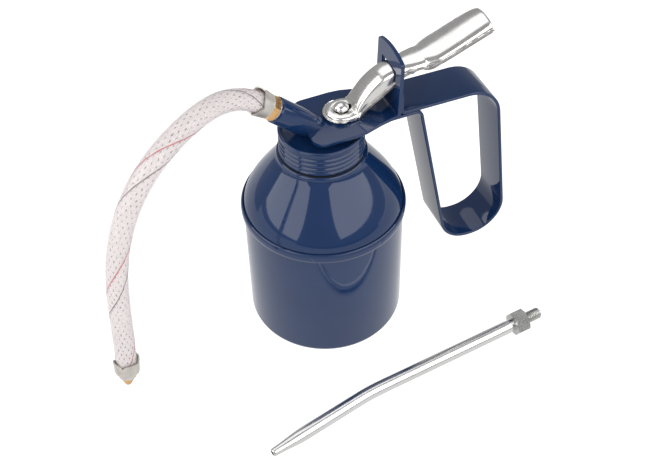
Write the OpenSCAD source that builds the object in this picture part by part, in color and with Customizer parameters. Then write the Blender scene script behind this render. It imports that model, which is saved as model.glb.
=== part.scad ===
// Handy oiler can: a drawn sheet reservoir with a screw-on pump head, a flat-strip
// handle, a rocking thumb lever, a flexible hose spout and a loose rigid spare spout.
// Origin: centre of the can's base on the resting surface. +Z up, +X towards the handle.

/* [Reservoir] */
// Radius of the drawn cup
body_r = 38.75; // [36:0.25:42]
// Height of the rolled seam bead above the base
bead_z = 68.2; // [60:0.2:72]
// Height of the collar ring above the base
collar_z = 101.2; // [98:0.2:104]
// Sheet thickness of the reservoir
sheet = 0.8; // [0.6:0.1:1]

/* [Head] */
// Crest radius of the ribbed screw cap
cap_r = 20.1; // [19.8:0.1:20.6]
// Distance of the pump axis from the can's axis, towards the handle
pump_x = 10; // [9.5:0.25:10.5]
// Angle of the spout boss above the horizontal
boss_angle = 43; // [40:1:46]
// Outer radius of the spout boss
boss_r = 6.2; // [5.8:0.1:6.3]
// Thickness of the bracket plate and of its upright guide
plate_t = 1.8; // [1.5:0.1:2]

/* [Handle] */
// Width of the handle strip
strap_w = 22; // [18:1:24]
// Thickness of the handle strip
strap_t = 1.6; // [1.2:0.1:1.6]

/* [Lever] */
// Radius of the lever's round nose
nose_r = 7.8; // [7.4:0.1:7.8]
// Half width of the thumb pad
pad_half = 9.4; // [8.4:0.2:10.4]

/* [Hose] */
// Outer radius of the hose
hose_r = 5.2; // [5:0.05:5.4]
// Bore radius of the hose
hose_bore_r = 3.2; // [3:0.05:3.3]

/* [Spare spout] */
// Outer radius of the rigid tube
spare_r = 3.4; // [3.2:0.1:3.8]
// Width of its hex nut across the flats
spare_nut_af = 11; // [10:0.5:12]

/* [Hidden] */
$fn = 96;

paint = "#1f3258";
brass = "#c08a45";
steel = "#b9b9b4";
zinc = "#d5d5d2";
black = "#202020";

// Reservoir levels
base_corner_r = 5;
bead_r = body_r + 1.25;
bead_h = 4.8;
dome_z = bead_z + bead_h;
collar_r = 21.45;
collar_h = 3.3;
neck_r = 18.1;
neck_top = 112.6;
thread_pitch = 2.1;

// Head levels
gasket_t = 0.8;
cap_bottom = collar_z + collar_h + gasket_t;
cap_top = 118;
cap_wall = 0.8;
cap_disc_z = 115.4;
plate_z = cap_top + strap_t;
plate_top = plate_z + plate_t;

// Upright guide: front face foot, backward lean, height and window
guide_x = 32.7;
guide_lean = 2;
guide_w = 24;
guide_h = 30.7;
window_w = 14.7;
window_bottom = 134.1;
window_top = 142.9;

// Pump
barrel_r = 7;
barrel_bore_r = 5.5;
barrel_z = 62;
rod_r = 2;
piston_z = 72;
piston_h = 8;
gland_z = 114.6;
spring_wire_r = 0.6;
spring_r = 4;
spring_turns = 8;

// Spout boss: a point on its axis, its direction and its length
boss_foot = [-2.6, 0, 117.2];
boss_dir = [-cos(boss_angle), 0, sin(boss_angle)];
boss_len = 26.9;
boss_bore_r = 3;
nut_t = 3.6;
washer_t = 0.6;
ferrule_len = 5.6;

// Hose: starts on the boss axis and hangs down on the spout side, in three cubic curves
// that share their tangents where they meet
hose_start = boss_foot + boss_dir * (boss_len + washer_t + nut_t);
HOSE_CURVES = [
    [hose_start, hose_start + boss_dir * 19.6, [-53.9, -11.3, 158.5], [-70.6, -19.4, 154]],
    [[-70.6, -19.4, 154], [-94.2, -30.9, 147.8], [-102.5, -30.3, 123.9], [-106.4, -31.9, 108.9]],
    [[-106.4, -31.9, 108.9], [-111.3, -33.9, 90.1], [-110.2, -30.9, 68.5], [-114, -36.5, 38.2]]
];
hose_end = HOSE_CURVES[2][3];
// Lean of the hanging tip away from the vertical, and the way it leans
tip_lean = 12.5;
tip_heading = 236;

// Spare spout: lies on the surface in front of the can, its nut resting on one flat
spare_nut_at = [77, -62, spare_nut_af / 2];
spare_heading = 185.6;
spare_tilt = 0.97;
spare_straight = 77;
spare_bend = 7;
spare_bend_r = 110;
spare_end = 33;
spare_taper = 16;
spare_tip_r = 2.1;
spare_nut_t = 7;
spare_stub = 16;
spare_stub_r = 2.95;
spare_thread_len = 8.4;
spare_shank_r = 2.6;

// ---------- helpers ----------

function unit(v) = v / norm(v);

// Points of a 2-D corner rounded to radius r, between the neighbours a and c
function corner(a, b, c, r, steps = 10) =
    let (
        u = unit(a - b),
        w = unit(c - b),
        half = acos(u * w) / 2,
        back = r / tan(half),
        centre = b + unit(u + w) * r / sin(half),
        p = b + u * back - centre,
        q = b + w * back - centre,
        from = atan2(p.y, p.x),
        turn = atan2(p.x * q.y - p.y * q.x, p * q)
    )
    [for (i = [0:steps]) centre + r * [cos(from + turn * i / steps), sin(from + turn * i / steps)]];

// A 2-D path with rounded corners, from points [x, z, r]
function rounded_path(pts) = [
    for (i = [0:len(pts) - 1])
        let (p = [pts[i].x, pts[i].y])
        each i == 0 || i == len(pts) - 1 ? [p]
            : corner([pts[i - 1].x, pts[i - 1].y], p, [pts[i + 1].x, pts[i + 1].y], pts[i].z)
];

function side(path, i) =
    let (
        a = path[max(i - 1, 0)],
        b = path[min(i + 1, len(path) - 1)],
        t = unit(b - a)
    )
    [-t.y, t.x];

// Outline of a bent strip of thickness t along a 2-D path
function strip_outline(path, t) = concat(
    [for (i = [0:len(path) - 1]) path[i] + side(path, i) * t / 2],
    [for (i = [len(path) - 1:-1:0]) path[i] - side(path, i) * t / 2]
);

// Places children, drawn along +Z, on an axis in the XZ plane at an angle above -X
module on_boss(along = 0) {
    translate(boss_foot + boss_dir * along)
        rotate([0, boss_angle - 90, 0])
            children();
}

module ring(outer, inner, h) {
    difference() {
        cylinder(r = outer, h = h);
        translate([0, 0, -1]) cylinder(r = inner, h = h + 2);
    }
}

function frame_side(path, i) =
    let (
        a = path[max(i - 1, 0)],
        b = path[min(i + 1, len(path) - 1)]
    )
    unit(b - a);

// Ring of n points of radius r round point i of a 3-D path, set out from a fixed side vector
function path_ring(path, i, r, n, out) =
    let (
        t = frame_side(path, i),
        u = unit(cross(t, out)),
        v = cross(u, t)
    )
    [for (k = [0:n - 1]) path[i] + r * (cos(360 * k / n) * u + sin(360 * k / n) * v)];

// A radius that is the same all along a path, or one value per point
function radius_at(r, i) = is_list(r) ? r[i] : r;

// A tube (or a rod when bore is undef) swept along a 3-D path
module swept_tube(path, r, bore, n, out) {
    last = len(path) - 1;
    hollow = !is_undef(bore);
    outer = [for (i = [0:last]) each path_ring(path, i, radius_at(r, i), n, out)];
    inner = hollow ? [for (i = [0:last]) each path_ring(path, i, radius_at(bore, i), n, out)] : [];
    base = len(outer);
    walls = [
        for (i = [0:last - 1], k = [0:n - 1])
            let (
                a = i * n + k,
                b = i * n + (k + 1) % n
            )
            [a, b, b + n, a + n]
    ];
    bores = hollow ? [
        for (i = [0:last - 1], k = [0:n - 1])
            let (
                a = base + i * n + k,
                b = base + i * n + (k + 1) % n
            )
            [a + n, b + n, b, a]
    ] : [];
    ends = hollow ? [
        for (k = [0:n - 1], e = [0, 1])
            let (
                a = e * last * n + k,
                b = e * last * n + (k + 1) % n
            )
            e == 0 ? [a, a + base, b + base, b] : [b, b + base, a + base, a]
    ] : [
        [for (k = [n - 1:-1:0]) k],
        [for (k = [0:n - 1]) last * n + k]
    ];
    polyhedron(points = concat(outer, inner), faces = concat(walls, bores, ends), convexity = 8);
}

// Point at t on the cubic curve with control points p
function bezier(p, t) =
    let (u = 1 - t)
    u * u * u * p[0] + 3 * u * u * t * p[1] + 3 * u * t * t * p[2] + t * t * t * p[3];

// Points along a chain of cubic curves, a given number of steps on each
function along_curves(curves, steps) = concat(
    [for (c = curves, i = [0:steps - 1]) bezier(c, i / steps)],
    [curves[len(curves) - 1][3]]
);

// ---------- reservoir ----------

module reservoir_cup() {
    c = base_corner_r;
    inner_r = body_r - sheet;
    color(paint)
        rotate_extrude()
            polygon(concat(
                [[0, 0]],
                [for (a = [-90:15:0]) [body_r - c + c * cos(a), c + c * sin(a)]],
                [[body_r, bead_z]],
                [for (a = [-60:20:60]) [bead_r - 1.6 + 1.6 * cos(a), bead_z + bead_h / 2 + 2.4 * sin(a)]],
                [[body_r, dome_z], [body_r, bead_z + 0.9], [inner_r, bead_z + 0.9]],
                [for (a = [0:-15:-90]) [body_r - c + (c - sheet) * cos(a), c + (c - sheet) * sin(a)]],
                [[0, sheet]]
            ));
}

// Dome profile from the seam up to the collar, set in from the outer surface
function dome_curve(inset) =
    let (p = [
        [body_r - inset, dome_z - 2],
        [body_r - inset, dome_z + 4.5],
        [body_r - 7.5 - inset, dome_z + 14 - inset],
        [collar_r - 0.8, collar_z + 0.4 - inset * 1.2]
    ])
    [for (i = [0:12]) bezier(p, i / 12)];

module reservoir_dome() {
    foot = bead_z + 0.9;
    inner = dome_curve(sheet);
    ribs = 3;
    color(paint)
        rotate_extrude()
            polygon(concat(
                [[body_r - sheet, foot], [body_r, foot]],
                dome_curve(0),
                [for (a = [-60:20:80]) [collar_r - 1.4 + 1.4 * cos(a), collar_z + 1.65 + 1.65 * sin(a)]],
                [[neck_r, collar_z + collar_h]],
                [for (i = [0:ribs - 1]) each [
                    [neck_r, collar_z + collar_h + 1 + i * thread_pitch],
                    [neck_r + 0.35, collar_z + collar_h + 1.9 + i * thread_pitch],
                    [neck_r, collar_z + collar_h + 2.8 + i * thread_pitch]
                ]],
                [[neck_r, neck_top], [neck_r - sheet, neck_top], [neck_r - sheet, collar_z + 1.5]],
                [for (i = [12:-1:0]) inner[i]]
            ));
}

// ---------- screw cap ----------

module cap_gasket() {
    color(black)
        translate([0, 0, collar_z + collar_h])
            ring(20.6, neck_r + 0.6, gasket_t);
}

module screw_cap() {
    ribs = 5;
    rib_z = cap_bottom + 0.9;
    pitch = (cap_top - 1.6 - rib_z) / ribs;
    inner_r = cap_r - 1.2;
    color(paint)
        difference() {
            rotate_extrude()
                polygon(concat(
                    [[inner_r, cap_bottom], [cap_r, cap_bottom], [cap_r, rib_z]],
                    [for (i = [0:ribs - 1], a = [40:40:320])
                        [cap_r - 0.25 + 0.25 * cos(a), rib_z + pitch * (i + a / 360)]],
                    [[cap_r, cap_top - 1.6]],
                    [for (a = [0:30:180]) [cap_r - 0.85 + 0.85 * cos(a), cap_top - 0.85 + 0.85 * sin(a)]],
                    [[cap_r - 1.7, cap_disc_z + cap_wall], [0, cap_disc_z + cap_wall]],
                    [[0, cap_disc_z], [inner_r, cap_disc_z]]
                ));
            translate([pump_x, 0, cap_disc_z - 1]) cylinder(r = barrel_r, h = 4);
            on_boss(-8) cylinder(r = boss_r, h = 30);
        }
}

// ---------- bracket and handle ----------

module plate_outline() {
    left = -9;
    half = 16.4;
    r = 5.5;
    foot = guide_w / 2 + 0.4;
    right = guide_x + plate_t - 0.4;
    upper = concat(
        [[right, 0], [right, foot], [guide_x - 1, foot]],
        [[24, 13.4], [16, half - 0.6], [12, half]],
        [for (a = [90:15:180]) [left + r + r * cos(a), half - r + r * sin(a)]],
        [[left, 0]]
    );
    polygon(concat(upper, [for (i = [len(upper) - 2:-1:1]) [upper[i].x, -upper[i].y]]));
}

// Guide outline in its own plane: x across the can, y up from the plate
module guide_outline() {
    half = guide_w / 2;
    rise = 2.4;
    arc_r = (half * half + rise * rise) / (2 * rise);
    arc_a = asin(half / arc_r);
    difference() {
        polygon(concat(
            [[half, 0], [half, guide_h - rise]],
            [for (i = [-8:8]) let (a = 90 + arc_a * i / 8)
                [arc_r * cos(a), guide_h - arc_r + arc_r * sin(a)]],
            [[-half, guide_h - rise], [-half, 0]]
        ));
        translate([-window_w / 2, window_bottom - plate_top + 0.3])
            square([window_w, window_top - window_bottom]);
    }
}

module pump_bracket() {
    color(paint)
        difference() {
            union() {
                translate([0, 0, plate_z]) linear_extrude(plate_t) plate_outline();
                translate([guide_x, 0, plate_top - 0.3])
                    rotate([0, guide_lean, 0])
                        rotate([90, 0, 90])
                            linear_extrude(plate_t) guide_outline();
            }
            translate([pump_x, 0, plate_z - 1]) cylinder(r = barrel_bore_r, h = 4);
            on_boss(-8) cylinder(r = boss_r, h = 40);
        }
}

module handle_strap() {
    low = cap_top + strap_t / 2;
    high = plate_top - 0.7;
    back = guide_x + plate_t + 0.15 + strap_t / 2;
    route = rounded_path([
        [18.6, low, 0],
        [45.5, low, 4],
        [63.9, 23.5, 16.5],
        [97.6, 23.5, 16.5],
        [85.4, high - 1.2, 18],
        [back, high, 2],
        [back + 12 * tan(guide_lean), high + 12, 0]
    ]);
    color(paint)
        translate([0, strap_w / 2, 0])
            rotate([90, 0, 0])
                linear_extrude(strap_w)
                    polygon(strip_outline(route, strap_t));
}

// ---------- pump ----------

module spout_boss() {
    color(paint)
        difference() {
            on_boss(-8) cylinder(r = boss_r, h = boss_len + 8);
            on_boss(-9) cylinder(r = boss_bore_r, h = boss_len + 11);
            translate([pump_x, 0, 90]) cylinder(r = barrel_r, h = 60);
        }
}

module pump_barrel() {
    top = plate_z;
    color(zinc)
        difference() {
            translate([pump_x, 0, 0])
                union() {
                    translate([0, 0, barrel_z]) cylinder(r = barrel_r, h = top - barrel_z);
                    translate([0, 0, cap_disc_z - 1.4]) cylinder(r = barrel_r + 1, h = 1.4);
                }
            translate([pump_x, 0, barrel_z - 1]) cylinder(r = barrel_bore_r, h = top - barrel_z + 2);
            on_boss(-12) cylinder(r = boss_bore_r, h = 12);
            difference() {
                on_boss(-8) cylinder(r = boss_r, h = 20);
                translate([pump_x, 0, 90]) cylinder(r = barrel_r, h = 60);
            }
        }
}

module gland_nut() {
    color(zinc)
        translate([pump_x, 0, 0])
            difference() {
                union() {
                    translate([0, 0, gland_z]) cylinder(r = barrel_bore_r, h = plate_top - gland_z);
                    translate([0, 0, plate_top]) cylinder(r = 5.6, h = 1.3);
                }
                translate([0, 0, gland_z - 1]) cylinder(r = rod_r + 0.08, h = 20);
                translate([0, 0, gland_z - 1]) cylinder(r = 3.4, h = 4);
            }
}

module gland_packing() {
    color(black)
        translate([pump_x, 0, gland_z + 0.4])
            ring(3.4, rod_r + 0.05, 2.6);
}

module foot_valve_body() {
    low = barrel_z - 11;
    color(brass)
        translate([pump_x, 0, 0])
            difference() {
                union() {
                    translate([0, 0, low]) cylinder(r = barrel_r, h = barrel_z - low);
                    translate([0, 0, barrel_z]) cylinder(r = barrel_bore_r, h = 4);
                }
                translate([0, 0, low - 1]) cylinder(r = 2.5, h = 5);
                translate([0, 0, low + 3]) cylinder(r = 1.6, h = 4);
                translate([0, 0, low + 6]) cylinder(r = 3, h = 12);
            }
}

module foot_valve_ball() {
    color(steel)
        translate([pump_x, 0, barrel_z - 11 + 6 + 2.2])
            sphere(r = 2.15);
}

module suction_tube() {
    color(zinc)
        translate([pump_x, 0, 5])
            ring(2.5, 1.8, barrel_z - 11 + 4 - 5);
}

module strainer() {
    color(brass)
        translate([pump_x, 0, 2.4])
            difference() {
                cylinder(r = 3.6, h = 5.6);
                translate([0, 0, 1.2]) cylinder(r = 2.5, h = 6);
                for (a = [0:60:300])
                    rotate([0, 0, a])
                        translate([0, -0.6, 1.1]) cube([5, 1.2, 1.3]);
            }
}

// ---------- plunger ----------

module plunger_rod() {
    low = piston_z - 3;
    color(steel)
        translate([pump_x, 0, low])
            cylinder(r = rod_r, h = 125.1 - low);
}

module rod_head() {
    head_r = 3.5;
    dome = 2.1;
    ball = (head_r * head_r + dome * dome) / (2 * dome);
    edge = asin(head_r / ball);
    color(zinc)
        translate([pump_x, 0, 125.1])
            rotate_extrude()
                polygon(concat(
                    [[0, 0], [head_r, 0]],
                    [for (i = [0:6]) let (a = edge * (1 - i / 6))
                        [ball * sin(a), 0.4 + dome - ball + ball * cos(a)]]
                ));
}

module piston() {
    color(brass)
        translate([pump_x, 0, piston_z])
            difference() {
                cylinder(r = barrel_bore_r - 0.06, h = piston_h);
                translate([0, 0, -1]) cylinder(r = rod_r, h = piston_h + 2);
                translate([0, 0, 3]) ring(7, barrel_bore_r - 1, 2.4);
                translate([3.7, 0, -1]) cylinder(r = 0.6, h = 10);
                translate([3.7, 0, piston_h - 3]) cylinder(r = 1, h = 4);
            }
}

module piston_seal() {
    color(black)
        translate([pump_x, 0, piston_z + 3.1])
            ring(barrel_bore_r - 0.03, barrel_bore_r - 1, 2.2);
}

module piston_nut() {
    color(steel)
        translate([pump_x, 0, piston_z - 2.4])
            difference() {
                cylinder(r = 3.6, h = 2.4, $fn = 6);
                translate([0, 0, -1]) cylinder(r = rod_r, h = 5);
            }
}

module piston_ball() {
    color(steel)
        translate([pump_x + 3.7, 0, piston_z + piston_h - 3 + 1.1])
            sphere(r = 0.85, $fn = 32);
}

module return_spring() {
    low = piston_z + piston_h + spring_wire_r + 0.05;
    high = gland_z - spring_wire_r - 0.05;
    turns = spring_turns;
    steps = turns * 16;
    coil = [
        for (i = [0:steps])
            let (
                a = 360 * i / 16,
                z = low + (high - low) * i / steps
            )
            [pump_x + spring_r * cos(a), spring_r * sin(a), z]
    ];
    color(steel) swept_tube(coil, spring_wire_r, undef, 8, [0, 0, 1]);
}

// ---------- thumb lever ----------

// Lever sections along X: [x, top of the web, half width, depth of the flanges]
LEVER_NECK = [
    [14.4, 124.8, 7.4, 3], [16.4, 128.2, 7.1, 5.4], [19, 132, 6.9, 7.3],
    [22, 135.5, 6.9, 8.7], [26, 138.8, 6.9, 9.2], [30, 141, 6.9, 8.6], [34, 142, 6.9, 6.8]
];
LEVER_PAD = [
    [38, 142.9, 6.9, 4.8], [44, 143.8, 7.1, 4.2], [48, 144.2, 7.7, 4],
    [52, 145, 8.8, 4], [57, 146.7, pad_half, 4.2], [65, 150, pad_half, 4.4],
    [73, 153.4, pad_half, 4.6], [79, 155.6, pad_half - 0.3, 4.8]
];
LEVER_END = [81, 156, pad_half - 1, 4.8];

// All sections, set in from the outer surface by the given amount
function lever_stations(inset) = concat(
    [for (a = [15:15:90]) let (r = nose_r - inset)
        [pump_x - r * cos(a), 124.8, r * sin(a) + inset, 3]],
    LEVER_NECK,
    LEVER_PAD,
    [LEVER_END - [inset, 0, 0, 0]]
);

// Round-shouldered channel section, set in by inset and with its foot lowered by drop
function channel_section(s, inset, drop, n = 12) =
    let (
        w = s[2] - inset,
        top = s[1] - inset * 1.1,
        shoulder = min(w * 0.55, s[3] * 0.7),
        foot = s[1] - s[3] - drop
    )
    concat(
        [[s[0], -w, foot]],
        [for (i = [0:n]) let (a = 180 - 180 * i / n)
            [s[0], w * sign(cos(a)) * pow(abs(cos(a)), 0.7), top - shoulder + shoulder * pow(sin(a), 0.7)]],
        [[s[0], w, foot]]
    );

module lofted(sections) {
    n = len(sections[0]);
    last = len(sections) - 1;
    polyhedron(
        points = [for (s = sections) each s],
        faces = concat(
            [[for (k = [n - 1:-1:0]) k]],
            [for (i = [0:last - 1], k = [0:n - 1])
                let (
                    a = i * n + k,
                    b = i * n + (k + 1) % n
                )
                [a, b, b + n, a + n]],
            [[for (k = [0:n - 1]) last * n + k]]
        ),
        convexity = 6
    );
}

module thumb_lever() {
    wall = 1.1;
    color(zinc)
        difference() {
            lofted([for (s = lever_stations(0)) channel_section(s, 0, 0)]);
            lofted([for (s = lever_stations(wall)) channel_section(s, wall, 2)]);
            translate([pump_x, 0, 120])
                hull() {
                    cylinder(r = 2.4, h = 10, $fn = 32);
                    translate([2.5, 0, 0]) cylinder(r = 2.4, h = 10, $fn = 32);
                }
        }
}

// ---------- hose spout ----------

module hose_washer() {
    color(steel)
        on_boss(boss_len)
            ring(5.6, boss_bore_r, washer_t);
}

module hose_nut() {
    color(brass)
        on_boss(boss_len)
            difference() {
                union() {
                    translate([0, 0, washer_t]) cylinder(r = 6.2, h = nut_t - 0.25, $fn = 6);
                    translate([0, 0, -6]) cylinder(r = spare_stub_r, h = 7);
                    translate([0, 0, washer_t + nut_t - 0.5]) cylinder(r1 = hose_bore_r - 0.25, r2 = hose_bore_r - 0.6, h = 5.5);
                }
                translate([0, 0, -7]) cylinder(r = 1.6, h = 30);
            }
}

module root_ferrule() {
    color(steel)
        on_boss(boss_len + washer_t + nut_t)
            translate([0, 0, 0.1])
                difference() {
                    cylinder(r1 = hose_r + 0.65, r2 = hose_r + 1.25, h = ferrule_len);
                    translate([0, 0, -1]) cylinder(r1 = hose_r + 0.06, r2 = hose_r + 0.8, h = ferrule_len + 2);
                }
}

module hose() {
    color("#d9d6d4", 0.7)
        swept_tube(along_curves(HOSE_CURVES, 13), hose_r, hose_bore_r, 12, [0, 1, 0]);
}

module on_tip() {
    translate(hose_end)
        rotate([0, 180 - tip_lean, tip_heading])
            children();
}

module tip_ferrule() {
    color(steel)
        on_tip()
            difference() {
                union() {
                    translate([0, 0, -6.5]) cylinder(r = hose_r + 0.75, h = 6.2);
                    translate([0, 0, -0.3]) cylinder(r1 = hose_r + 0.75, r2 = 3.9, h = 2.6);
                }
                translate([0, 0, -7.5]) cylinder(r1 = hose_r + 0.4, r2 = hose_r + 0.15, h = 7.8);
                translate([0, 0, -1]) cylinder(r = 2.9, h = 8);
            }
}

module tip_nozzle() {
    color(brass)
        on_tip()
            difference() {
                union() {
                    translate([0, 0, -6]) cylinder(r = hose_bore_r - 0.25, h = 6);
                    cylinder(r = 2.9, h = 3.4);
                    translate([0, 0, 3.4]) cylinder(r1 = 2.9, r2 = 1.4, h = 3.6);
                }
                translate([0, 0, -9]) cylinder(r = 0.9, h = 20);
            }
}

// ---------- spare spout ----------

// Places children whose +X runs from the nut towards the tip
module on_spare() {
    translate(spare_nut_at)
        rotate([0, spare_tilt, spare_heading])
            children();
}

module along_x(r, h, fn = 96) {
    rotate([0, 90, 0]) rotate([0, 0, 30]) cylinder(r = r, h = h, $fn = fn);
}

// Straight, gently bent, straight again, then drawn down to a narrow tip
module spare_spout_tube() {
    turn = [spare_straight, spare_bend_r, 0];
    ahead = [cos(spare_bend), sin(spare_bend), 0];
    bend = [for (i = [0:6]) let (a = spare_bend * i / 6) turn + spare_bend_r * [sin(a), -cos(a), 0]];
    straight_end = bend[6] + ahead * spare_end;
    tip = straight_end + ahead * spare_taper;
    route = concat([[0, 0, 0], [0.5, 0, 0]], bend, [straight_end, tip, tip + ahead * 1.5]);
    taper = [spare_r, spare_tip_r, spare_tip_r];
    outer = concat([spare_r - 0.4], [for (i = [0:7]) spare_r], taper);
    bores = concat([for (i = [0:8]) spare_r - 1.1], [spare_r - 1.1, 1.2, 1.2]);
    color(zinc)
        on_spare()
            swept_tube(route, outer, bores, 24, [0, 0, 1]);
}

module spare_spout_nut() {
    color(steel)
        on_spare()
            translate([-spare_nut_t, 0, 0])
                difference() {
                    along_x(spare_nut_af / 2 / cos(30), spare_nut_t, 6);
                    translate([-1, 0, 0]) along_x(spare_shank_r, spare_nut_t + 2);
                }
}

// Threaded end, a run-out groove at the nut's face, and a shank that carries the nut
module spare_spout_stub() {
    color(steel)
        on_spare()
            translate([-spare_stub, 0, 0])
                difference() {
                    union() {
                        along_x(spare_stub_r, spare_thread_len);
                        along_x(spare_shank_r - 0.3, spare_stub - spare_nut_t + 0.5);
                        translate([spare_stub - spare_nut_t, 0, 0]) along_x(spare_shank_r, spare_nut_t);
                    }
                    translate([-1, 0, 0]) along_x(1.6, spare_stub + 2);
                }
}

reservoir_cup();
reservoir_dome();
cap_gasket();
screw_cap();
pump_bracket();
handle_strap();
spout_boss();
pump_barrel();
gland_nut();
gland_packing();
foot_valve_body();
foot_valve_ball();
suction_tube();
strainer();
plunger_rod();
rod_head();
piston();
piston_seal();
piston_nut();
piston_ball();
return_spring();
thumb_lever();
hose_nut();
hose_washer();
root_ferrule();
hose();
tip_ferrule();
tip_nozzle();
spare_spout_tube();
spare_spout_nut();
spare_spout_stub();
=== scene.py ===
# Handy oiler can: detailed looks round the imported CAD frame.
import math

import bmesh
import bpy
import numpy as np
from mathutils import Matrix, Vector


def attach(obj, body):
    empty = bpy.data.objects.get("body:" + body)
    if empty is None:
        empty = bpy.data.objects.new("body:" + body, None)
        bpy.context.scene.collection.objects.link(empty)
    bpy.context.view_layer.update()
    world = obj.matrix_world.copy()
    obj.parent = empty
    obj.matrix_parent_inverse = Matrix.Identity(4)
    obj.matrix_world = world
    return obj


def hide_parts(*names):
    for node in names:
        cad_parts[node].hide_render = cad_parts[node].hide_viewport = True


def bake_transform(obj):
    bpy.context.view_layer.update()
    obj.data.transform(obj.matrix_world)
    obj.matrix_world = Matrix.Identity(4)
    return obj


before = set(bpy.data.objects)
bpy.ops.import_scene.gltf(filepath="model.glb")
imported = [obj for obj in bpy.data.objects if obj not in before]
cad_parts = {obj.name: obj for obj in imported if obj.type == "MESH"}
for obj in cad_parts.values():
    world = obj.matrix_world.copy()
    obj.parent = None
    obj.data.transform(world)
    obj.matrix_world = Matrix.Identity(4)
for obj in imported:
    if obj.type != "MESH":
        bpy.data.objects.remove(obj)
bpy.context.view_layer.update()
MM = 0.001
TAU = 2 * math.pi


# ---------- small helpers ----------

def arr(*v):
    return np.array(v, float)


def unit(v):
    return v / np.linalg.norm(v)


def lerp(a, b, t):
    return a + (b - a) * t


def step(a, b, x):
    """0 before a, 1 after b, smooth between."""
    t = min(1.0, max(0.0, (x - a) / (b - a)))
    return t * t * (3 - 2 * t)


def link(name, data):
    """A new object in the scene."""
    piece = bpy.data.objects.new(name, data)
    bpy.context.scene.collection.objects.link(piece)
    return piece


def make(name, verts, faces, material, body, replaces=(), sharp=38, index=None, weld=0.0):
    """A mesh piece from points in millimetres.

    material may be a list, and index then gives the place in it of each face's material.
    """
    mesh = bpy.data.meshes.new(name)
    mesh.from_pydata([tuple(float(c) * MM for c in v) for v in verts], [], [tuple(f) for f in faces])
    for m in material if isinstance(material, list) else [material]:
        mesh.materials.append(m)
    if index is not None:
        mesh.polygons.foreach_set("material_index", np.array(index, np.int32))
    bm = bmesh.new()
    bm.from_mesh(mesh)
    if weld:
        bmesh.ops.remove_doubles(bm, verts=bm.verts, dist=weld * MM)
        bmesh.ops.dissolve_degenerate(bm, edges=bm.edges, dist=1e-7)
    bmesh.ops.recalc_face_normals(bm, faces=bm.faces)
    bm.to_mesh(mesh)
    bm.free()
    mesh.shade_smooth()
    mesh.set_sharp_from_angle(angle=math.radians(sharp))
    piece = link(name, mesh)
    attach(piece, body)
    if replaces:
        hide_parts(*replaces)
    return piece


def fillet(points, radius, steps):
    """A closed 2-D outline [(x, y) or (x, y, r)] with its corners rounded."""
    out = []
    n = len(points)
    for i in range(n):
        b = arr(*points[i][:2])
        r = points[i][2] if len(points[i]) > 2 else radius
        a = arr(*points[i - 1][:2])
        c = arr(*points[(i + 1) % n][:2])
        u, w = unit(a - b), unit(c - b)
        half = math.acos(max(-1, min(1, float(u @ w)))) / 2
        if r <= 0 or half < 0.02 or half > 1.55:
            out.append(tuple(b))
            continue
        room = 0.49 * min(np.linalg.norm(a - b), np.linalg.norm(c - b))
        back = min(r / math.tan(half), room)
        r = back * math.tan(half)
        centre = b + unit(u + w) * r / math.sin(half)
        p, q = b + u * back - centre, b + w * back - centre
        start = math.atan2(p[1], p[0])
        turn = math.atan2(p[0] * q[1] - p[1] * q[0], float(p @ q))
        for k in range(steps + 1):
            t = start + turn * k / steps
            out.append((centre[0] + r * math.cos(t), centre[1] + r * math.sin(t)))
    return out


def rings(loops, close_u=True, close_v=True):
    """Faces between loops of equal length. close_u joins the last loop to the first."""
    n, m = len(loops), len(loops[0])
    verts = [p for loop in loops for p in loop]
    faces = []
    for i in range(n if close_u else n - 1):
        for k in range(m if close_v else m - 1):
            a, b = i * m + k, i * m + (k + 1) % m
            c, d = ((i + 1) % n) * m + (k + 1) % m, ((i + 1) % n) * m + k
            faces.append((a, b, c, d))
    return verts, faces


def capped(loops):
    """Faces between loops of equal length, with a face over each end."""
    verts, faces = rings(loops, close_u=False)
    n = len(loops[0])
    return verts, faces + [tuple(range(n - 1, -1, -1)), tuple(range(len(verts) - n, len(verts)))]


def ring(centre, r, n, u, w):
    """n points of a circle round centre, in the plane of u and w."""
    return [centre + r * (math.cos(TAU * k / n) * u + math.sin(TAU * k / n) * w) for k in range(n)]


def lathe(profile, n, place=None, wave=None):
    """A closed outline of (radius, height) turned about the Z axis.

    wave(r, z, angle) may shift a point.
    """
    loops = []
    for k in range(n):
        t = TAU * k / n
        loop = []
        for r, z in profile:
            if wave:
                r, z = wave(r, z, t)
            loop.append(arr(max(r, 0.0) * math.cos(t), max(r, 0.0) * math.sin(t), z))
        loops.append(loop)
    verts, faces = rings(loops)
    return ([place(v) for v in verts] if place else verts), faces


def frames(path):
    """Tangent and two side vectors at each point of a 3-D path, without twist."""
    path = [np.asarray(p, float) for p in path]
    tangents = [unit(path[min(i + 1, len(path) - 1)] - path[max(i - 1, 0)]) for i in range(len(path))]
    side = unit(np.cross(tangents[0], arr(0, 1, 0)))
    out = []
    for t in tangents:
        side = unit(side - t * float(side @ t))
        out.append((t, side, np.cross(t, side)))
    return out


def blank(name):
    """A new material with an empty tree, that tree and its output node."""
    m = bpy.data.materials.new(name)
    m.use_nodes = True
    tree = m.node_tree
    tree.nodes.clear()
    return m, tree, tree.nodes.new("ShaderNodeOutputMaterial")


def material(name, build):
    m, tree, out = blank(name)
    shader = tree.nodes.new("ShaderNodeBsdfPrincipled")
    tree.links.new(shader.outputs[0], out.inputs[0])
    build(tree, shader)
    return m


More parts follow.
